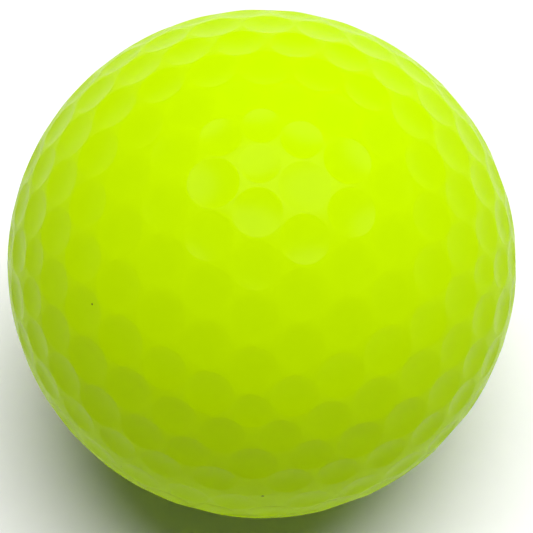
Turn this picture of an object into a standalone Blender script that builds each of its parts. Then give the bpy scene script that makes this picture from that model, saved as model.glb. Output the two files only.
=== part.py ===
"""Three-piece golf ball: a solid core, a mantle and a dimpled cover, the last two as two half-shells each.

Units are metres and +Z is up. The origin is the centre of the ball, and the halves meet on the plane z = 0.
The dimples follow an icosahedral lattice with its five-fold axis on Z. They are pushed evenly apart over
the ball, and off the plane where the halves meet, so that the parting line cuts none of them.
"""

import math

import bmesh
import bpy
import numpy as np
from mathutils import Matrix, Vector

# Driving dimensions.
BALL_RADIUS = 0.02135
COVER_THICKNESS = 0.0016
MANTLE_THICKNESS = 0.0013
PIECE_GAP = 0.0003
LATTICE_STEPS = (5, 2)
DIMPLE_DIAMETERS = (0.0031, 0.0033, 0.0035, 0.0037, 0.0039, 0.0041)
DIMPLE_DEPTH_RATIO = 0.045
LAND_WIDTH = 0.0001
PARTING_LAND = 0.00025

# How finely the surfaces are faceted.
DIMPLE_SIDES = 8
PARTING_SIDES = 120
SPHERE_SUBDIVISIONS = 4

# The ball looks the same each fifth of a turn about Z. A sector starts this many degrees before +X.
FOLD = 5
SECTOR_EDGE = 1.0
POLE_HEIGHT = 0.999

# How the dimples are pushed apart: in each round the steps shrink from the stride to nothing.
SPREAD_ROUNDS = 7
SPREAD_STEPS = 150
SPREAD_POWER = 16
SPREAD_STRIDE = 0.00012

# Radii of the layers, from the cover inwards.
COVER_BORE_RADIUS = BALL_RADIUS - COVER_THICKNESS
MANTLE_RADIUS = COVER_BORE_RADIUS - PIECE_GAP
MANTLE_BORE_RADIUS = MANTLE_RADIUS - MANTLE_THICKNESS
CORE_RADIUS = MANTLE_BORE_RADIUS - PIECE_GAP

COVER_YELLOW = (0.62, 0.86, 0.02, 1.0)
MANTLE_WHITE = (0.86, 0.87, 0.84, 1.0)
CORE_BLUE = (0.10, 0.27, 0.46, 1.0)


def clear_scene():
    """Removes whatever the open scene holds."""
    for item in list(bpy.data.objects):
        bpy.data.objects.remove(item, do_unlink=True)


def new_collection(name):
    """A collection linked to the scene."""
    collection = bpy.data.collections.new(name)
    bpy.context.scene.collection.children.link(collection)
    return collection


def new_material(name, color, roughness):
    """A Principled BSDF material for one sub-part."""
    material = bpy.data.materials.new(name)
    material.use_nodes = True
    shader = material.node_tree.nodes["Principled BSDF"]
    shader.inputs["Base Color"].default_value = color
    shader.inputs["Roughness"].default_value = roughness
    shader.inputs["Metallic"].default_value = 0.0
    return material


def add_object(name, mesh, collection, material=None):
    """One named object in a collection, with its material."""
    item = bpy.data.objects.new(name, mesh)
    collection.objects.link(item)
    if material is not None:
        mesh.materials.clear()
        mesh.materials.append(material)
    return item


def to_mesh(name, shape):
    """A smooth-shaded mesh from a bmesh, which is freed."""
    mesh = bpy.data.meshes.new(name)
    shape.to_mesh(mesh)
    shape.free()
    mesh.shade_smooth()
    return mesh


def sphere_mesh(name, radius):
    """An even ball of near-equal triangles."""
    shape = bmesh.new()
    bmesh.ops.create_icosphere(shape, subdivisions=SPHERE_SUBDIVISIONS, radius=radius)
    return to_mesh(name, shape)


def box_mesh(name, low, high):
    """A box between two corners."""
    shape = bmesh.new()
    place = Matrix.Translation((Vector(low) + Vector(high)) / 2)
    size = Matrix.Diagonal((Vector(high) - Vector(low)).to_4d())
    bmesh.ops.create_cube(shape, size=1.0, matrix=place @ size)
    return to_mesh(name, shape)


def icosahedral_lattice(steps):
    """Unit directions of a triangular lattice wrapped round an icosahedron that stands on a corner.

    One edge of the icosahedron is steps[0] lattice steps one way and steps[1] steps 60 degrees from it.
    """
    turn = complex(0.5, math.sqrt(3) / 2)
    edge = steps[0] + steps[1] * turn
    reach = range(-sum(steps), 2 * sum(steps) + 1)
    weights = []
    for i in reach:
        for j in reach:
            share = (i + j * turn) / edge
            v = share.imag / turn.imag
            u = share.real - v * turn.real
            if min(u, v, 1 - u - v) > -1e-6:
                weights.append((1 - u - v, u, v))
    solid = bmesh.new()
    bmesh.ops.create_icosphere(solid, subdivisions=1, radius=1.0)
    found = {}
    for face in solid.faces:
        a, b, c = (vert.co for vert in face.verts)
        for wa, wb, wc in weights:
            direction = (wa * a + wb * b + wc * c).normalized()
            found[tuple(round(value, 4) for value in direction)] = direction
    solid.free()
    return np.array([found[key] for key in sorted(found)], dtype=float)


def one_sector(points):
    """The points of one fifth of the upper half, without the pole: copies of them make up the rest."""
    sector = (np.degrees(np.arctan2(points[:, 1], points[:, 0])) + SECTOR_EDGE) % 360 < 360 / FOLD
    return points[sector & (points[:, 2] > 0) & (points[:, 2] < POLE_HEIGHT)]


def whole_ball(seeds):
    """All the dimples: the seeds turned five ways about Z, the same turned over about Y, and the poles."""
    copies = []
    for over in (1, -1):
        for turn in range(FOLD):
            matrix = np.array(Matrix.Rotation(2 * math.pi * turn / FOLD, 3, "Z"))
            copies.append((seeds * (over, 1, over)) @ matrix.T)
    return np.concatenate(copies + [[(0.0, 0.0, 1.0), (0.0, 0.0, -1.0)]])


def whole_ball_of(values):
    """What whole_ball is for directions, for one value a seed with the poles' value last."""
    return np.concatenate([np.tile(values[:-1], 2 * FOLD), values[[-1, -1]]])


def spread_out(seeds, diameters):
    """Pushes the dimples evenly apart over the ball, by their sizes, and clear of the parting plane."""
    wanted = (diameters[:-1, None] + whole_ball_of(diameters)[None]) / 2 + LAND_WIDTH
    lowest = (diameters[:-1] / 2 + PARTING_LAND) / BALL_RADIUS
    own = np.arange(len(seeds))
    for step in range(SPREAD_STEPS):
        apart = seeds[:, None] - whole_ball(seeds)[None]
        distance = np.linalg.norm(apart, axis=2)
        distance[own, own] = math.inf
        strength = (wanted / BALL_RADIUS / distance) ** SPREAD_POWER
        push = (apart * (strength / distance)[..., None]).sum(axis=1)
        push -= (push * seeds).sum(axis=1)[:, None] * seeds
        stride = SPREAD_STRIDE / BALL_RADIUS * (1 - step / SPREAD_STEPS)
        seeds = seeds + push * stride / max(1.0, np.linalg.norm(push, axis=1).max())
        seeds /= np.linalg.norm(seeds, axis=1)[:, None]
        height = np.maximum(seeds[:, 2], lowest)
        level = np.sqrt(1 - height**2) / np.hypot(seeds[:, 0], seeds[:, 1])
        seeds = np.column_stack([seeds[:, :2] * level[:, None], height])
    return seeds


def grow(seeds):
    """The diameters of the seeds' and the poles' dimples, grown size by size while a land is left."""
    sizes = np.array(sorted(DIMPLE_DIAMETERS))
    members = np.concatenate([seeds, [(0.0, 0.0, 1.0)]])
    distance = np.linalg.norm(members[:, None] - whole_ball(seeds)[None], axis=2) * BALL_RADIUS
    distance[distance < sizes[0] / 2] = math.inf
    room = 2 * (members[:, 2] * BALL_RADIUS - PARTING_LAND)
    level = np.zeros(len(members), dtype=int)
    growing = True
    while growing:
        growing = False
        for size in range(1, len(sizes)):
            for member in np.flatnonzero(level == size - 1):
                trial = level.copy()
                trial[member] = size
                reach = (sizes[size] + whole_ball_of(sizes[trial])) / 2 + LAND_WIDTH
                if sizes[size] <= room[member] and (distance[member] >= reach).all():
                    level = trial
                    growing = True
    return sizes[level]


def dimple_layout():
    """The dimples as (unit direction, diameter): spread and grown in turn until they fill the ball."""
    seeds = one_sector(icosahedral_lattice(LATTICE_STEPS))
    diameters = np.full(len(seeds) + 1, np.median(DIMPLE_DIAMETERS))
    for _ in range(SPREAD_ROUNDS):
        seeds = spread_out(seeds, diameters)
        diameters = grow(seeds)
    return list(zip(map(Vector, whole_ball(seeds)), whole_ball_of(diameters)))


def dimpled_ball_mesh(name, layout):
    """The outside of the cover: flat lands between the rims, and a faceted hollow inside each rim."""
    shape = bmesh.new()
    bmesh.ops.create_circle(shape, segments=PARTING_SIDES, radius=BALL_RADIUS)
    rims = []
    for direction, diameter in layout:
        aside = direction.orthogonal().normalized()
        across = direction.cross(aside)
        slant = math.asin(diameter / 2 / BALL_RADIUS)
        rim = []
        for corner in range(DIMPLE_SIDES):
            angle = 2 * math.pi * corner / DIMPLE_SIDES
            outward = aside * math.cos(angle) + across * math.sin(angle)
            corner_direction = direction * math.cos(slant) + outward * math.sin(slant)
            rim.append(shape.verts.new(BALL_RADIUS * corner_direction))
        rims.append(rim)
    bmesh.ops.convex_hull(shape, input=shape.verts)
    owner = {vert: number for number, rim in enumerate(rims) for vert in rim}
    inside = [[] for _ in rims]
    for face in shape.faces:
        owners = {owner.get(vert) for vert in face.verts}
        if len(owners) == 1 and None not in owners:
            inside[owners.pop()].append(face)
    for (direction, diameter), faces in zip(layout, inside):
        cup = bmesh.ops.dissolve_faces(shape, faces=faces)["region"]
        hollow = bmesh.ops.poke(shape, faces=cup)["verts"]
        hollow[0].co -= direction * diameter * DIMPLE_DEPTH_RATIO
    bmesh.ops.recalc_face_normals(shape, faces=shape.faces)
    return to_mesh(name, shape)


def cut(item, cutter, operation):
    """A Boolean modifier with the exact solver."""
    modifier = item.modifiers.new(f"{operation.lower()}_{cutter.name}", "BOOLEAN")
    modifier.operation = operation
    modifier.solver = "EXACT"
    modifier.object = cutter


def make_cutters(collection):
    """The hollows of the two shells, and the space above and below the parting plane."""
    reach = 1.5 * BALL_RADIUS
    half_gap = PIECE_GAP / 2
    meshes = {
        "cover_bore": sphere_mesh("cover_bore", COVER_BORE_RADIUS),
        "mantle_bore": sphere_mesh("mantle_bore", MANTLE_BORE_RADIUS),
        "upper_space": box_mesh("upper_space", (-reach, -reach, half_gap), (reach, reach, reach)),
        "lower_space": box_mesh("lower_space", (-reach, -reach, -reach), (reach, reach, -half_gap)),
    }
    cutters = {}
    for name, mesh in meshes.items():
        cutters[name] = add_object(name, mesh, collection)
        cutters[name].hide_render = True
        cutters[name].display_type = "WIRE"
    return cutters


def make_shell_halves(layer, mesh, bore, cutters, collection, material):
    """The upper and lower half-shells of one layer, as one body hollowed and cut at the parting plane."""
    for half in ("upper", "lower"):
        shell = add_object(f"{layer}_{half}_half", mesh, collection, material)
        cut(shell, cutters[f"{half}_space"], "INTERSECT")
        cut(shell, cutters[bore], "DIFFERENCE")


def make_ball():
    """Builds the core, the mantle and the cover."""
    pieces = new_collection("golf_ball")
    cutters = make_cutters(new_collection("cutters"))
    core_rubber = new_material("core_rubber", CORE_BLUE, 0.7)
    mantle_ionomer = new_material("mantle_ionomer", MANTLE_WHITE, 0.45)
    cover_urethane = new_material("cover_urethane", COVER_YELLOW, 0.3)
    add_object("core", sphere_mesh("core", CORE_RADIUS), pieces, core_rubber)
    mantle = sphere_mesh("mantle", MANTLE_RADIUS)
    make_shell_halves("mantle", mantle, "mantle_bore", cutters, pieces, mantle_ionomer)
    cover = dimpled_ball_mesh("cover", dimple_layout())
    make_shell_halves("cover", cover, "cover_bore", cutters, pieces, cover_urethane)


clear_scene()
make_ball()
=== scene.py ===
"""Looks of a three-piece golf ball: a bright dimpled cover over a white mantle and a blue core.

Units are metres and +Z is up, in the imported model's own frame. The centre of the ball is the
origin, and the halves of each layer meet on the plane z = 0. The ball stands on a pale floor.
"""

import logging
import math
from dataclasses import dataclass, field
from enum import Enum
from typing import Iterable, Mapping, Sequence, Union

import bmesh
import bpy
import numpy as np
from mathutils import Matrix, Vector

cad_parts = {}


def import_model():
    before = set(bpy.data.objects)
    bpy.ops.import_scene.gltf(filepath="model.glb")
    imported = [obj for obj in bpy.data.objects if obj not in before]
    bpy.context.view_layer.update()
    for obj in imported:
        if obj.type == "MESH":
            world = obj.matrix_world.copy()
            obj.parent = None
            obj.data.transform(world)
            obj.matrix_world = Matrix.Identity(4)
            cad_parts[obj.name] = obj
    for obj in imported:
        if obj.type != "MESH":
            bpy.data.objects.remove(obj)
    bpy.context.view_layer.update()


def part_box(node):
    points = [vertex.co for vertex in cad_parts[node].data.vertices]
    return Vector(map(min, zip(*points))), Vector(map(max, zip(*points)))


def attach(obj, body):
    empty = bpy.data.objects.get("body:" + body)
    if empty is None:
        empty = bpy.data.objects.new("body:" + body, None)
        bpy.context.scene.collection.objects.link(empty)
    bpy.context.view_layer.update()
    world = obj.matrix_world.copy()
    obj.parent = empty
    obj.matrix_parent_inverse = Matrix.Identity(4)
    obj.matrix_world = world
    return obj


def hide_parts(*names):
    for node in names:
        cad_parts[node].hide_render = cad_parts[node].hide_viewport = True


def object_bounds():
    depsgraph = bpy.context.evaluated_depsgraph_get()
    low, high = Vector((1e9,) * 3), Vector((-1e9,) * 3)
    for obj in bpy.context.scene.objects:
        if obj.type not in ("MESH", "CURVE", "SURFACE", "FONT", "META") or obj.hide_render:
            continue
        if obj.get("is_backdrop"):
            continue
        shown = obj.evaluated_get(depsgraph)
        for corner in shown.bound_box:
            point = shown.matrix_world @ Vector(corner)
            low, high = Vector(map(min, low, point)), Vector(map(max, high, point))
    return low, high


ROOT_BODY = "root"
WHITE = (1.0, 1.0, 1.0, 1.0)
CREASE_ANGLE = 30.0
MM = 0.001
MICRON = 1e-6
LOG = logging.getLogger("golf_ball")

Color = tuple[float, float, float, float]
Point = tuple[float, float, float]
Face = tuple[int, ...]


# --------------------------------------------------------------------------------------------------
# Shader graphs
# --------------------------------------------------------------------------------------------------


@dataclass(frozen=True)
class Signal:
    """One output socket of a shader graph, which Python's operators turn into Math nodes."""

    graph: "ShaderGraph"
    socket: bpy.types.NodeSocket

    def __add__(self, other: "Value") -> "Signal":
        """Sum."""
        return self.graph.maths("ADD", self, other)

    __radd__ = __add__

    def __mul__(self, other: "Value") -> "Signal":
        """Product."""
        return self.graph.maths("MULTIPLY", self, other)

    __rmul__ = __mul__

    def __sub__(self, other: "Value") -> "Signal":
        """Difference."""
        return self.graph.maths("SUBTRACT", self, other)

    def __rsub__(self, other: "Value") -> "Signal":
        """Difference from a number."""
        return self.graph.maths("SUBTRACT", other, self)

    def __gt__(self, other: "Value") -> "Signal":
        """1 where this is more than the other, and 0 elsewhere."""
        return self.graph.maths("GREATER_THAN", self, other)

    def __lt__(self, other: "Value") -> "Signal":
        """1 where this is less than the other, and 0 elsewhere."""
        return self.graph.maths("LESS_THAN", self, other)


Value = Union[Signal, float, Sequence[float]]


class ShaderGraph:
    """Adds nodes to one node tree."""

    def __init__(self, tree: bpy.types.NodeTree) -> None:
        """Wraps a tree.

        Args:
            tree: the node tree of a material or a world.
        """
        self.tree = tree

    def node(
        self,
        kind: str,
        settings: Mapping[str, object] | None = None,
        inputs: Mapping[Union[str, int], Value] | None = None,
        output: Union[str, int] = 0,
    ) -> Signal:
        """Adds one node.

        Args:
            kind: the node's type name.
            settings: its own properties.
            inputs: numbers or links for its sockets, by name or place.
            output: which of its outputs the signal is.

        Returns:
            The chosen output as a signal.
        """
        node = self.tree.nodes.new(kind)
        for name, value in (settings or {}).items():
            setattr(node, name, value)
        self.feed(node, inputs or {})
        return Signal(self, node.outputs[output])

    def feed(self, node: bpy.types.Node, inputs: Mapping[Union[str, int], Value]) -> None:
        """Sets or links the inputs of a node.

        Args:
            node: the node to feed.
            inputs: numbers or signals by socket name or place.
        """
        for name, value in inputs.items():
            if isinstance(value, Signal):
                self.tree.links.new(value.socket, node.inputs[name])
            else:
                node.inputs[name].default_value = value

    def maths(self, operation: str, *values: Value) -> Signal:
        """Adds a Math node on numbers or signals."""
        return self.node("ShaderNodeMath", {"operation": operation}, dict(enumerate(values)))

    def vector(self, operation: str, *values: Value, output: Union[str, int] = 0) -> Signal:
        """Adds a Vector Math node on vectors."""
        return self.node(
            "ShaderNodeVectorMath", {"operation": operation}, dict(enumerate(values)), output
        )

    def mix_color(self, factor: Value, a: Value, b: Value) -> Signal:
        """Blends colour a into colour b as the factor goes from 0 to 1."""
        return self.node("ShaderNodeMix", {"data_type": "RGBA"}, {0: factor, 6: a, 7: b}, 2)

    def mix_vector(self, factor: Value, a: Value, b: Value) -> Signal:
        """Blends vector a into vector b as the factor goes from 0 to 1."""
        return self.node("ShaderNodeMix", {"data_type": "VECTOR"}, {0: factor, 4: a, 5: b}, 1)

    def ramp(self, value: Value, low: float, high: float) -> Signal:
        """Runs smoothly from 0 at low to 1 at high.

        Args:
            value: the signal to map.
            low: where the result leaves 0.
            high: where the result reaches 1.

        Returns:
            The mapped signal.
        """
        settings = {"interpolation_type": "SMOOTHSTEP"}
        return self.node("ShaderNodeMapRange", settings, {"Value": value, 1: low, 2: high, 3: 0.0, 4: 1.0})

    def position(self) -> Signal:
        """The point on the surface in the ball's own frame, in metres."""
        return self.node("ShaderNodeTexCoord", output="Object")

    def noise(self, place: Signal, grain: float, detail: float = 2.0, roughness: float = 0.5) -> Signal:
        """Smooth noise from 0 to 1.

        Args:
            place: where to read it.
            grain: the size of its blotches, in metres.
            detail: how many finer layers are added.
            roughness: how strong the finer layers are.

        Returns:
            The noise as a signal.
        """
        inputs = {"Vector": place, "Scale": 1 / grain, "Detail": detail, "Roughness": roughness}
        return self.node("ShaderNodeTexNoise", inputs=inputs)


def blank_material(name: str) -> tuple[bpy.types.Material, ShaderGraph, bpy.types.Node]:
    """Makes a material with only its Principled shader and output.

    Args:
        name: the material's name.

    Returns:
        The material, its graph and its Principled shader.
    """
    material = bpy.data.materials.new(name)
    material.use_nodes = True
    graph = ShaderGraph(material.node_tree)
    return material, graph, material.node_tree.nodes["Principled BSDF"]


# --------------------------------------------------------------------------------------------------
# Finishes
# --------------------------------------------------------------------------------------------------


@dataclass(frozen=True)
class CoverFinish:
    """Translucent neon urethane under a thin clear coat, with a few specks of dirt.

    Light spreads inside the urethane, so its body is shaded more evenly than the dimples are
    shaped. Softness is how far that goes, from 0 to 1. The clear coat on top follows the dimples
    sharply. The glow is painted light: an even emission that stands for the pigment's fluorescence
    and for light carried through the body. Hollow share is how much of the deeper colour is painted
    shade that darkens towards the middle of each dimple, and the rest comes from random blotches.
    """

    ball_radius: float
    slot: str = "cover_urethane"
    # pale is the colour of the lands; the darker tone serves both random blotches and painted shade in the
    # dimples
    pale: Color = (0.445, 0.67, 0.0, 1.0)
    deep_and_shaded: Color = (0.42, 0.64, 0.0, 1.0)
    dirt: Color = (0.05, 0.07, 0.01, 1.0)
    # painted glow: an even emission on the cover that stands for fluorescence and light carried through
    # the body, though it is no lamp
    glow: Color = (0.42, 1.0, 0.0, 1.0)
    painted_glow_strength: float = 0.02
    blotch_size: float = 11 * MM
    dimple_depth: float = 0.28 * MM
    # share of the darker tone that is painted shade in the dimples rather than random blotches
    hollow_shade_share: float = 0.42
    softness: float = 0.76
    roughness: float = 0.5
    outer_skin: float = 0.45 * MM
    subsurface: float = 0.1
    scatter_length: float = 0.4 * MM
    scatter_colors: Point = (1.0, 1.0, 0.3)
    coat_low: float = 0.85
    coat_high: float = 0.95
    coat_ior: float = 1.08
    coat_roughness: float = 0.22
    speck_cell: float = 4.5 * MM
    speck_radius: float = 0.13 * MM
    speck_share: float = 0.5

    def material(self) -> bpy.types.Material:
        """Builds the material.

        Returns:
            The cover's material.
        """
        material, graph, shader = blank_material(self.slot)
        place = graph.position()
        height = graph.vector("LENGTH", place, output="Value")
        blotches = graph.noise(place, self.blotch_size)
        # painted shade: the colour darkens towards the middle of each dimple, blended with random blotches
        # of tone
        depth = graph.ramp(height, self.ball_radius, self.ball_radius - self.dimple_depth)
        hollow_shade_and_blotches = depth * self.hollow_shade_share + blotches * (1 - self.hollow_shade_share)
        body = graph.mix_color(hollow_shade_and_blotches, self.pale, self.deep_and_shaded)
        graph.feed(
            shader,
            {
                "Base Color": graph.mix_color(self._specks(graph, place), body, self.dirt),
                "Roughness": self.roughness,
                "Specular IOR Level": 0.0,
                # painted glow: the cover gives off a little light of its own
                "Emission Color": self.glow,
                "Emission Strength": self.painted_glow_strength,
                "Subsurface Weight": self.subsurface,
                "Subsurface Radius": self.scatter_colors,
                "Subsurface Scale": self.scatter_length,
                "Coat Weight": self.coat_low + (self.coat_high - self.coat_low) * blotches,
                "Coat Roughness": self.coat_roughness,
                "Coat IOR": self.coat_ior,
                "Normal": self._body_normal(graph, place, height),
            },
        )
        shader.subsurface_method = "BURLEY"
        return material

    def _specks(self, graph: ShaderGraph, place: Signal) -> Signal:
        """Marks small specks: one round dot in a few of the cells that fill space.

        Args:
            graph: the graph to build in.
            place: the point on the surface.

        Returns:
            1 on a speck and 0 elsewhere.
        """
        cells = {"Vector": place, "Scale": 1 / self.speck_cell}
        distance = graph.node("ShaderNodeTexVoronoi", inputs=cells, output="Distance")
        lot = graph.node("ShaderNodeTexVoronoi", inputs=cells, output="Color")
        chosen = graph.node("ShaderNodeSeparateColor", inputs={0: lot}) < self.speck_share
        return chosen * (distance < self.speck_radius / self.speck_cell)

    def _body_normal(self, graph: ShaderGraph, place: Signal, height: Signal) -> Signal:
        """Turns the outer skin's normal part of the way to straight out from the centre.

        Args:
            graph: the graph to build in.
            place: the point on the surface.
            height: its distance from the centre.

        Returns:
            The normal that the urethane's own shading uses.
        """
        surface = graph.node("ShaderNodeNewGeometry", output="Normal")
        outward = graph.vector("NORMALIZE", place)
        share = (height > self.ball_radius - self.outer_skin) * self.softness
        return graph.vector("NORMALIZE", graph.mix_vector(share, surface, outward))


@dataclass(frozen=True)
class MantleFinish:
    """Milky white moulded ionomer, slightly rough so that the cover bonds to it."""

    slot: str = "mantle_ionomer"
    milk: Color = (0.86, 0.87, 0.84, 1.0)
    shade: Color = (0.78, 0.80, 0.77, 1.0)
    flow_size: float = 9 * MM
    grain_size: float = 0.35 * MM
    grain_depth: float = 0.012 * MM
    roughness_low: float = 0.38
    roughness_range: float = 0.16

    def material(self) -> bpy.types.Material:
        """Builds the material.

        Returns:
            The mantle's material.
        """
        material, graph, shader = blank_material(self.slot)
        place = graph.position()
        flow = graph.noise(place, self.flow_size, detail=3.0)
        grain = graph.noise(place, self.grain_size, detail=1.0)
        bump = graph.node(
            "ShaderNodeBump", inputs={"Strength": 1.0, "Distance": self.grain_depth, "Height": grain}
        )
        graph.feed(
            shader,
            {
                "Base Color": graph.mix_color(flow, self.shade, self.milk),
                "Roughness": self.roughness_low + self.roughness_range * grain,
                "Normal": bump,
            },
        )
        return material


@dataclass(frozen=True)
class CoreFinish:
    """Matt blue rubber with pale flecks of filler, scored by the grinding wheel."""

    slot: str = "core_rubber"
    rubber: Color = (0.10, 0.27, 0.46, 1.0)
    worn: Color = (0.15, 0.34, 0.53, 1.0)
    fleck: Color = (0.55, 0.62, 0.66, 1.0)
    patch_size: float = 7 * MM
    fleck_size: float = 0.5 * MM
    fleck_edge: tuple[float, float] = (0.72, 0.80)
    score_size: float = 0.25 * MM
    score_depth: float = 0.02 * MM
    score_stretch: Point = (0.15, 0.15, 1.0)
    roughness_low: float = 0.62
    roughness_range: float = 0.2

    def material(self) -> bpy.types.Material:
        """Builds the material.

        Returns:
            The core's material.
        """
        material, graph, shader = blank_material(self.slot)
        place = graph.position()
        patches = graph.noise(place, self.patch_size, detail=4.0)
        flecks = graph.ramp(graph.noise(place, self.fleck_size, detail=1.0), *self.fleck_edge)
        body = graph.mix_color(patches, self.rubber, self.worn)
        stretched = graph.vector("MULTIPLY", place, self.score_stretch)
        scores = graph.noise(stretched, self.score_size, detail=2.0)
        bump = graph.node(
            "ShaderNodeBump", inputs={"Strength": 1.0, "Distance": self.score_depth, "Height": scores}
        )
        graph.feed(
            shader,
            {
                "Base Color": graph.mix_color(flecks, body, self.fleck),
                "Roughness": self.roughness_low + self.roughness_range * scores,
                "Normal": bump,
            },
        )
        return material


@dataclass(frozen=True)
class FloorFinish:
    """Pale matt paper with a trace of fibre."""

    paper: Color = (0.76, 0.76, 0.76, 1.0)
    fibre: Color = (0.73, 0.73, 0.73, 1.0)
    fibre_size: float = 2 * MM
    roughness: float = 0.9
    specular: float = 0.1

    def material(self) -> bpy.types.Material:
        """Builds the material.

        Returns:
            The floor's material.
        """
        material, graph, shader = blank_material("floor_paper")
        fibres = graph.noise(graph.position(), self.fibre_size, detail=3.0)
        graph.feed(
            shader,
            {
                "Base Color": graph.mix_color(fibres, self.paper, self.fibre),
                "Roughness": self.roughness,
                "Specular IOR Level": self.specular,
            },
        )
        return material


# --------------------------------------------------------------------------------------------------
# Meshes
# --------------------------------------------------------------------------------------------------


class Half(Enum):
    """The two halves of a layer, by the sign of their height."""

    UPPER = 1
    LOWER = -1

    def piece(self, layer: str) -> str:
        """The name of this half of a layer."""
        return f"{layer}_{self.name.lower()}_half"


@dataclass
class Surface:
    """Points and faces that grow into one closed mesh."""

    points: list[Point] = field(default_factory=list)
    faces: list[Face] = field(default_factory=list)

    def add_ring(self, points: Iterable[Sequence[float]]) -> list[int]:
        """Adds points in a ring.

        Args:
            points: where they are, in metres.

        Returns:
            Their numbers.
        """
        first = len(self.points)
        self.points.extend(tuple(float(value) for value in point) for point in points)
        return list(range(first, len(self.points)))

    def bridge(self, one: Sequence[int], other: Sequence[int]) -> None:
        """Joins two rings of as many points with four-sided faces.

        Args:
            one: the numbers of the first ring.
            other: the numbers of the second ring.
        """
        for here in range(len(one)):
            after = (here + 1) % len(one)
            self.faces.append((one[here], one[after], other[after], other[here]))

    def fan(self, ring: Sequence[int], tip: Sequence[float]) -> None:
        """Closes a ring with triangles to one point.

        Args:
            ring: the numbers of the ring.
            tip: where the point is, in metres.
        """
        (centre,) = self.add_ring([tip])
        for here in range(len(ring)):
            self.faces.append((ring[here], ring[(here + 1) % len(ring)], centre))

    def piece(self, name: str, material: bpy.types.Material) -> bpy.types.Object:
        """Makes the object, with its faces outward and shaded smooth between creases.

        Args:
            name: the piece's name.
            material: its finish.

        Returns:
            The object, linked to the scene.
        """
        mesh = bpy.data.meshes.new(name)
        mesh.from_pydata(self.points, [], self.faces)
        shape = bmesh.new()
        shape.from_mesh(mesh)
        bmesh.ops.recalc_face_normals(shape, faces=shape.faces)
        shape.to_mesh(mesh)
        shape.free()
        mesh.shade_smooth()
        mesh.set_sharp_from_angle(angle=math.radians(CREASE_ANGLE))
        mesh.materials.append(material)
        item = bpy.data.objects.new(name, mesh)
        bpy.context.scene.collection.objects.link(item)
        return item


def level_ring(radius: float, height: float, sides: int) -> list[Point]:
    """A level circle round the Z axis.

    Args:
        radius: its radius, in metres.
        height: its height, in metres.
        sides: how many points it has.

    Returns:
        The points, starting at +X.
    """
    turns = (2 * math.pi * side / sides for side in range(sides))
    return [(radius * math.cos(turn), radius * math.sin(turn), height) for turn in turns]


def turned(profile: Sequence[tuple[float, float]], sides: int) -> Surface:
    """A closed surface turned round Z from a profile that starts and ends on the axis.

    Args:
        profile: radius and height of each point, in metres.
        sides: how many points go round.

    Returns:
        The surface.
    """
    surface = Surface()
    rings = [surface.add_ring(level_ring(radius, height, sides)) for radius, height in profile[1:-1]]
    for one, other in zip(rings, rings[1:]):
        surface.bridge(one, other)
    surface.fan(rings[0], (0.0, 0.0, profile[0][1]))
    surface.fan(rings[-1], (0.0, 0.0, profile[-1][1]))
    return surface


def dress(item: bpy.types.Object, slot: str, *nodes: str) -> None:
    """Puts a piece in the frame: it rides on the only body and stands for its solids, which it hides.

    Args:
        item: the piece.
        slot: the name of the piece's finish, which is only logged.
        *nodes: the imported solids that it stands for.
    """
    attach(item, ROOT_BODY)
    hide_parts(*nodes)
    LOG.info("%s: %d faces, finish %s", item.name, len(item.data.polygons), slot)


# --------------------------------------------------------------------------------------------------
# Dimples
# --------------------------------------------------------------------------------------------------


@dataclass(frozen=True)
class Dimple:
    """One dimple: the direction of its middle from the centre of the ball, and the radius of its rim."""

    direction: Vector
    radius: float


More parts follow.
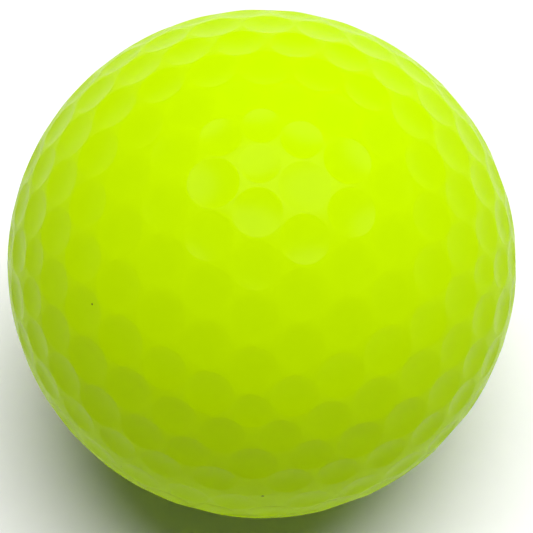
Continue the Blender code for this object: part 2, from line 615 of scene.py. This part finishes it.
@dataclass(frozen=True)
class DimplePattern:
    """Where the dimples are: an icosahedral lattice, five-fold round Z.

    Its points are pushed evenly apart, by a push that falls off with the power of their distance,
    over a number of steps in each round, and then the dimples are grown to fit. The sector that
    the rest is turned from starts at its edge, in degrees.
    """

    ball_radius: float
    lattice_steps: tuple[int, int] = (5, 2)
    diameters: tuple[float, ...] = (3.1 * MM, 3.3 * MM, 3.5 * MM, 3.7 * MM, 3.9 * MM, 4.1 * MM)
    land_width: float = 0.1 * MM
    parting_land: float = 0.25 * MM
    fold: int = 5
    sector_edge: float = 1.0
    pole_height: float = 0.999
    rounds: int = 7
    steps: int = 150
    power: int = 16
    stride: float = 0.12 * MM
    tolerance: float = 1e-6
    match_digits: int = 4

    def dimples(self) -> list[Dimple]:
        """Spreads and grows the dimples in turn until they fill the ball.

        Returns:
            The dimples of the whole ball.
        """
        seeds = self._one_sector(self._lattice())
        diameters = np.full(len(seeds) + 1, np.median(self.diameters))
        for _ in range(self.rounds):
            seeds = self._spread_out(seeds, diameters)
            diameters = self._grow(seeds)
        sizes = self._whole_ball_of(diameters)
        return [
            Dimple(Vector(direction), float(diameter) / 2)
            for direction, diameter in zip(self._whole_ball(seeds), sizes)
        ]

    def _lattice(self) -> np.ndarray:
        """A triangular lattice wrapped round an icosahedron that stands on a corner.

        Returns:
            Unit directions, one a row.
        """
        turn = complex(0.5, math.sqrt(3) / 2)
        edge = self.lattice_steps[0] + self.lattice_steps[1] * turn
        reach = range(-sum(self.lattice_steps), 2 * sum(self.lattice_steps) + 1)
        weights = []
        for i in reach:
            for j in reach:
                share = (i + j * turn) / edge
                v = share.imag / turn.imag
                u = share.real - v * turn.real
                if min(u, v, 1 - u - v) > -self.tolerance:
                    weights.append((1 - u - v, u, v))
        solid = bmesh.new()
        bmesh.ops.create_icosphere(solid, subdivisions=1, radius=1.0)
        found = {}
        for face in solid.faces:
            a, b, c = (vert.co for vert in face.verts)
            for wa, wb, wc in weights:
                direction = (wa * a + wb * b + wc * c).normalized()
                key = tuple(round(value, self.match_digits) for value in direction)
                found[key] = direction
        solid.free()
        return np.array([found[key] for key in sorted(found)], dtype=float)

    def _one_sector(self, points: np.ndarray) -> np.ndarray:
        """Keeps one fifth of the upper half, without the pole.

        Args:
            points: unit directions, one a row.

        Returns:
            The directions in the sector.
        """
        turns = np.degrees(np.arctan2(points[:, 1], points[:, 0])) + self.sector_edge
        heights = points[:, 2]
        inside = (turns % 360 < 360 / self.fold) & (heights > 0) & (heights < self.pole_height)
        return points[inside]

    def _whole_ball(self, seeds: np.ndarray) -> np.ndarray:
        """Turns the seeds round Z, turns the same over about Y, and adds the poles.

        Args:
            seeds: the directions of one sector.

        Returns:
            The directions of the whole ball, with the poles last.
        """
        copies = []
        for over in (1, -1):
            for turn in range(self.fold):
                matrix = np.array(Matrix.Rotation(2 * math.pi * turn / self.fold, 3, "Z"))
                copies.append((seeds * (over, 1, over)) @ matrix.T)
        return np.concatenate(copies + [[(0.0, 0.0, 1.0), (0.0, 0.0, -1.0)]])

    def _whole_ball_of(self, values: np.ndarray) -> np.ndarray:
        """Repeats one value a seed, with the poles' value last, as _whole_ball repeats directions."""
        return np.concatenate([np.tile(values[:-1], 2 * self.fold), values[[-1, -1]]])

    def _spread_out(self, seeds: np.ndarray, diameters: np.ndarray) -> np.ndarray:
        """Pushes the dimples evenly apart, by their sizes, and clear of the parting plane.

        Args:
            seeds: the directions of one sector.
            diameters: their dimples' diameters, with the poles' last.

        Returns:
            The new directions.
        """
        wanted = (diameters[:-1, None] + self._whole_ball_of(diameters)[None]) / 2 + self.land_width
        lowest = (diameters[:-1] / 2 + self.parting_land) / self.ball_radius
        own = np.arange(len(seeds))
        for step in range(self.steps):
            apart = seeds[:, None] - self._whole_ball(seeds)[None]
            distance = np.linalg.norm(apart, axis=2)
            distance[own, own] = math.inf
            strength = (wanted / self.ball_radius / distance) ** self.power
            push = (apart * (strength / distance)[..., None]).sum(axis=1)
            push -= (push * seeds).sum(axis=1)[:, None] * seeds
            stride = self.stride / self.ball_radius * (1 - step / self.steps)
            seeds = seeds + push * stride / max(1.0, np.linalg.norm(push, axis=1).max())
            seeds /= np.linalg.norm(seeds, axis=1)[:, None]
            height = np.maximum(seeds[:, 2], lowest)
            level = np.sqrt(1 - height**2) / np.hypot(seeds[:, 0], seeds[:, 1])
            seeds = np.column_stack([seeds[:, :2] * level[:, None], height])
        return seeds

    def _grow(self, seeds: np.ndarray) -> np.ndarray:
        """Grows the dimples size by size while a land is left all round.

        Args:
            seeds: the directions of one sector.

        Returns:
            Their dimples' diameters, with the poles' last.
        """
        sizes = np.array(sorted(self.diameters))
        members = np.concatenate([seeds, [(0.0, 0.0, 1.0)]])
        apart = members[:, None] - self._whole_ball(seeds)[None]
        distance = np.linalg.norm(apart, axis=2) * self.ball_radius
        distance[distance < sizes[0] / 2] = math.inf
        room = 2 * (members[:, 2] * self.ball_radius - self.parting_land)
        level = np.zeros(len(members), dtype=int)
        growing = True
        while growing:
            growing = False
            for size in range(1, len(sizes)):
                for member in np.flatnonzero(level == size - 1):
                    trial = level.copy()
                    trial[member] = size
                    reach = (sizes[size] + self._whole_ball_of(sizes[trial])) / 2 + self.land_width
                    if sizes[size] <= room[member] and (distance[member] >= reach).all():
                        level = trial
                        growing = True
        return sizes[level]


@dataclass(frozen=True)
class DimpleShape:
    """The hollow of a dimple: a shallow bowl that rounds over into the ball at its rim.

    The rings are places across the rounded rim, from 1 on the ball to -1 in the bowl, and then
    shares of the bowl's radius.
    """

    ball_radius: float
    depth_ratio: float = 0.045
    rim_width: float = 0.045 * MM
    rim_rings: tuple[float, ...] = (1.0, 0.4, 0.0, -0.4, -1.0)
    bowl_rings: tuple[float, ...] = (0.86, 0.66, 0.43, 0.21, 0.0)

    def section(self, radius: float) -> list[tuple[float, float]]:
        """Cuts through the dimple from its outermost ring to its middle.

        Args:
            radius: the radius of its rim.

        Returns:
            The distance from the dimple's axis and the height along it of each ring, in metres.
        """
        edge = radius - self.rim_width
        reaches = [radius + self.rim_width * ring for ring in self.rim_rings]
        reaches += [edge * ring for ring in self.bowl_rings]
        return [(reach, self._height(reach, radius)) for reach in reaches]

    def _height(self, reach: float, radius: float) -> float:
        """The height of the surface along the dimple's axis.

        Args:
            reach: the distance from the axis.
            radius: the radius of the dimple's rim.

        Returns:
            The height above the centre of the ball.
        """
        depth = 2 * radius * self.depth_ratio
        curve = (radius**2 + depth**2) / (2 * depth)
        floor = math.sqrt(self.ball_radius**2 - radius**2) - depth
        ball = math.sqrt(self.ball_radius**2 - reach**2)
        bowl = floor + curve - math.sqrt(curve**2 - reach**2)
        ball_slope = radius / math.sqrt(self.ball_radius**2 - radius**2)
        bowl_slope = radius / math.sqrt(curve**2 - radius**2)
        blend = (ball_slope + bowl_slope) * self.rim_width
        overlap = max(0.0, blend - abs(ball - bowl))
        return min(ball, bowl) - overlap**2 / (4 * blend)


# --------------------------------------------------------------------------------------------------
# The ball
# --------------------------------------------------------------------------------------------------


@dataclass
class Cover:
    """The outer layer: two dimpled half-shells that meet in a fine parting line."""

    ball_radius: float
    bore_radius: float
    finish: CoverFinish
    pattern: DimplePattern
    shape: DimpleShape
    dimple_sides: int = 44
    parting_sides: int = 240
    parting_height: float = 7 * MICRON
    seam_height: float = 3 * MICRON
    seam_depth: float = 4 * MICRON
    bore_rings: int = 22

    def build(self) -> None:
        """Builds and dresses both halves."""
        material = self.finish.material()
        dimples = self.pattern.dimples()
        for half in Half:
            own = [dimple for dimple in dimples if dimple.direction.z * half.value > 0]
            name = half.piece("cover")
            dress(self._shell(half, own).piece(name, material), self.finish.slot, name)

    def _shell(self, half: Half, dimples: Sequence[Dimple]) -> Surface:
        """Closes one half-shell: lands and bowls outside, the bore inside, and the seam between.

        Args:
            half: which half it is.
            dimples: the dimples on it.

        Returns:
            The surface.
        """
        surface = Surface()
        edge = math.sqrt(self.ball_radius**2 - self.parting_height**2)
        height = half.value * self.parting_height
        parting = surface.add_ring(level_ring(edge, height, self.parting_sides))
        rims = []
        for dimple in dimples:
            rings = self._rings(dimple)
            numbers = [surface.add_ring(ring) for ring in rings[:-1]]
            for one, other in zip(numbers, numbers[1:]):
                surface.bridge(one, other)
            surface.fan(numbers[-1], rings[-1][0])
            rims.append(numbers[0])
        self._add_lands(surface, parting, rims)
        self._add_inside(surface, parting, half)
        return surface

    def _rings(self, dimple: Dimple) -> list[list[Vector]]:
        """The rings of one dimple from its rim to its middle, which is the last ring's only place.

        Args:
            dimple: the dimple.

        Returns:
            The points of each ring.
        """
        aside = dimple.direction.orthogonal().normalized()
        across = dimple.direction.cross(aside)
        turns = [2 * math.pi * side / self.dimple_sides for side in range(self.dimple_sides)]
        spokes = [aside * math.cos(turn) + across * math.sin(turn) for turn in turns]
        return [
            [dimple.direction * height + spoke * reach for spoke in spokes]
            for reach, height in self.shape.section(dimple.radius)
        ]

    def _add_lands(self, surface: Surface, parting: Sequence[int], rims: Sequence[Sequence[int]]) -> None:
        """Covers what is left between the rims and the parting line.

        Args:
            surface: the half-shell.
            parting: the numbers of the parting ring.
            rims: the numbers of each dimple's outermost ring.
        """
        owner = {number: -1 for number in parting}
        owner.update({number: rim for rim, numbers in enumerate(rims) for number in numbers})
        shape = bmesh.new()
        numbers = {shape.verts.new(surface.points[number]): number for number in owner}
        bmesh.ops.convex_hull(shape, input=shape.verts)
        for face in shape.faces:
            corners = tuple(numbers[vert] for vert in face.verts)
            if len({owner[corner] for corner in corners}) > 1:
                surface.faces.append(corners)
        shape.free()

    def _add_inside(self, surface: Surface, parting: Sequence[int], half: Half) -> None:
        """Closes the half-shell from the parting ring over the seam and the bore.

        Args:
            surface: the half-shell.
            parting: the numbers of the parting ring.
            half: which half it is.
        """
        start = math.asin(self.seam_height / self.bore_radius)
        seam = [(self.ball_radius - self.seam_depth, self.seam_height)]
        for ring in range(self.bore_rings):
            angle = start + (math.pi / 2 - start) * ring / self.bore_rings
            seam.append((self.bore_radius * math.cos(angle), self.bore_radius * math.sin(angle)))
        last = parting
        for radius, height in seam:
            ring = surface.add_ring(level_ring(radius, half.value * height, self.parting_sides))
            surface.bridge(last, ring)
            last = ring
        surface.fan(last, (0.0, 0.0, half.value * self.bore_radius))


@dataclass
class Mantle:
    """The middle layer: two plain half-shells with rounded edges where they meet."""

    radius: float
    bore_radius: float
    finish: MantleFinish
    seam_height: float = 0.02 * MM
    edge_radius: float = 0.08 * MM
    sides: int = 160
    arc_rings: int = 40
    edge_rings: int = 4

    def build(self) -> None:
        """Builds and dresses both halves."""
        material = self.finish.material()
        for half in Half:
            name = half.piece("mantle")
            profile = [(radius, half.value * height) for radius, height in self._profile()]
            dress(turned(profile, self.sides).piece(name, material), self.finish.slot, name)

    def _profile(self) -> list[tuple[float, float]]:
        """The section of the upper half, from its outer top over the seam to its inner top.

        Returns:
            Radius and height of each point, in metres.
        """
        rise = self.seam_height + self.edge_radius
        profile = self._arc(self.radius, math.pi / 2, math.asin(rise / self.radius))
        outer = math.sqrt(self.radius**2 - rise**2) - self.edge_radius
        inner = math.sqrt(self.bore_radius**2 - rise**2) + self.edge_radius
        for middle, first in ((outer, 0.0), (inner, -math.pi / 2)):
            for ring in range(1, self.edge_rings + 1):
                angle = first - math.pi / 2 * ring / self.edge_rings
                across = middle + self.edge_radius * math.cos(angle)
                profile.append((across, rise + self.edge_radius * math.sin(angle)))
        profile += self._arc(self.bore_radius, math.asin(rise / self.bore_radius), math.pi / 2)[1:]
        return profile

    def _arc(self, radius: float, start: float, end: float) -> list[tuple[float, float]]:
        """Points along an arc round the centre of the ball.

        Args:
            radius: the arc's radius.
            start: the first point's height as an angle.
            end: the last point's height as an angle.

        Returns:
            Radius and height of each point, in metres.
        """
        angles = [start + (end - start) * ring / self.arc_rings for ring in range(self.arc_rings + 1)]
        return [(radius * math.cos(angle), radius * math.sin(angle)) for angle in angles]


@dataclass
class Core:
    """The solid middle: a moulded ball with its flash ground off in a narrow band."""

    radius: float
    finish: CoreFinish
    band_height: float = 0.5 * MM
    band_depth: float = 0.02 * MM
    sides: int = 160
    rings: int = 96

    def build(self) -> None:
        """Builds and dresses the core."""
        material = self.finish.material()
        core = turned(self._profile(), self.sides).piece("core", material)
        dress(core, self.finish.slot, "core")

    def _profile(self) -> list[tuple[float, float]]:
        """The section from top to bottom, ground in a little at the middle.

        Returns:
            Radius and height of each point, in metres.
        """
        profile = []
        for ring in range(self.rings + 1):
            angle = math.pi / 2 - math.pi * ring / self.rings
            height = self.radius * math.sin(angle)
            ground = self.band_depth * math.exp(-((height / self.band_height) ** 2))
            profile.append(((self.radius - ground) * math.cos(angle), height))
        return profile


# --------------------------------------------------------------------------------------------------
# The studio
# --------------------------------------------------------------------------------------------------


@dataclass
class Studio:
    """A pale floor, one broad soft panel of light overhead, a pale wall round the back, and the camera.

    The panel is an ellipse in the sky. Its middle and its half-sizes are the right and back parts
    of a unit direction, and its edge is how far it fades, as a share of its size. The wall is
    brightest at the horizon and fades out at its height. Its reach is where it fades in from
    front to back. The view's fill is the share of the frame that the ball takes, and the offsets
    move the ball in the frame, as shares of the frame's width. The camera's distance and its
    nearest visible distance are in ball radii.
    """

    ball_radius: float
    floor_finish: FloorFinish
    floor_radius: float = 4.0
    floor_sides: int = 96
    panel_brightness: float = 9.5
    panel_right: float = 0.11
    panel_back: float = 0.12
    panel_width: float = 0.47
    panel_depth: float = 0.32
    panel_edge: float = 0.2
    wall_brightness: float = 0.9
    wall_height: float = 0.35
    wall_reach: tuple[float, float] = (-0.7, 0.1)
    glow: float = 0.03
    elevation: float = 60.0
    distance: float = 10.0
    near: float = 0.1
    fill: float = 0.955
    offset_right: float = -0.0084
    offset_up: float = 0.005

    def build(self, floor_height: float) -> None:
        """Sets up the floor, the light and the camera.

        Args:
            floor_height: the height that the ball stands on.
        """
        self._lay_floor(floor_height)
        self._light_world()
        self._place_camera()
        bpy.context.scene.view_settings.view_transform = "Standard"

    def _lay_floor(self, height: float) -> None:
        """Lays the floor.

        Args:
            height: its height.
        """
        shape = bmesh.new()
        place = Matrix.Translation((0.0, 0.0, height))
        bmesh.ops.create_circle(
            shape, cap_ends=True, segments=self.floor_sides, radius=self.floor_radius, matrix=place
        )
        mesh = bpy.data.meshes.new("floor")
        shape.to_mesh(mesh)
        shape.free()
        mesh.materials.append(self.floor_finish.material())
        floor = bpy.data.objects.new("floor", mesh)
        bpy.context.scene.collection.objects.link(floor)
        floor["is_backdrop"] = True

    def _light_world(self) -> None:
        """Lights the world: the soft panel overhead, the wall round the back, and a faint glow."""
        world = bpy.data.worlds.new("studio")
        world.use_nodes = True
        graph = ShaderGraph(world.node_tree)
        ray = graph.node("ShaderNodeTexCoord", output="Generated")
        height = graph.node("ShaderNodeSeparateXYZ", inputs={0: ray}, output="Z")
        back = graph.node("ShaderNodeSeparateXYZ", inputs={0: ray}, output="Y")
        aside = graph.vector("SUBTRACT", ray, (self.panel_right, self.panel_back, 0.0))
        flat = (1 / self.panel_width, 1 / self.panel_depth, 0.0)
        shares = graph.vector("MULTIPLY", aside, flat)
        distance = graph.vector("LENGTH", shares, output="Value")
        panel = (1 - graph.ramp(distance, 1 - self.panel_edge, 1 + self.panel_edge)) * (height > 0.0)
        wall = (1 - graph.ramp(height, 0.0, self.wall_height)) * graph.ramp(back, *self.wall_reach)
        glow = self.glow + (self.wall_brightness - self.glow) * wall
        background = world.node_tree.nodes["Background"]
        strength = glow + self.panel_brightness * panel
        graph.feed(background, {"Color": WHITE, "Strength": strength})
        bpy.context.scene.world = world

    def _place_camera(self) -> None:
        """Points the camera down at the ball from the front."""
        lift = math.radians(self.elevation)
        back = Vector((0.0, -math.cos(lift), math.sin(lift)))
        right = Vector((1.0, 0.0, 0.0))
        up = back.cross(right)
        reach = self.distance * self.ball_radius
        half_view = math.tan(math.asin(1 / self.distance)) / self.fill
        frame_width = 2 * reach * half_view
        aim = -right * self.offset_right * frame_width - up * self.offset_up * frame_width
        data = bpy.data.cameras.new("camera")
        data.lens = data.sensor_width / 2 / half_view
        data.clip_start = self.near * self.ball_radius
        data.clip_end = 2 * self.floor_radius
        camera = bpy.data.objects.new("camera", data)
        camera.location = aim + back * reach
        camera.rotation_mode = "QUATERNION"
        camera.rotation_quaternion = back.to_track_quat("Z", "Y")
        bpy.context.scene.collection.objects.link(camera)
        bpy.context.scene.camera = camera


@dataclass
class GolfBall:
    """The whole ball, from its size and the thickness of its layers."""

    radius: float
    cover_thickness: float = 1.6 * MM
    mantle_thickness: float = 1.3 * MM
    piece_gap: float = 0.3 * MM

    def build(self) -> None:
        """Builds the core, the mantle and the cover, from the middle out."""
        bore = self.radius - self.cover_thickness
        mantle = bore - self.piece_gap
        mantle_bore = mantle - self.mantle_thickness
        Core(mantle_bore - self.piece_gap, CoreFinish()).build()
        Mantle(mantle, mantle_bore, MantleFinish()).build()
        pattern = DimplePattern(self.radius)
        Cover(self.radius, bore, CoverFinish(self.radius), pattern, DimpleShape(self.radius)).build()


def main() -> None:
    """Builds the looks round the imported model."""
    logging.basicConfig(level=logging.INFO, format="%(name)s: %(message)s")
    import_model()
    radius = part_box("cover_upper_half")[1].x
    GolfBall(radius).build()
    visual_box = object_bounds()
    Studio(radius, FloorFinish()).build(visual_box[0].z)


if __name__ == "__main__":
    main()
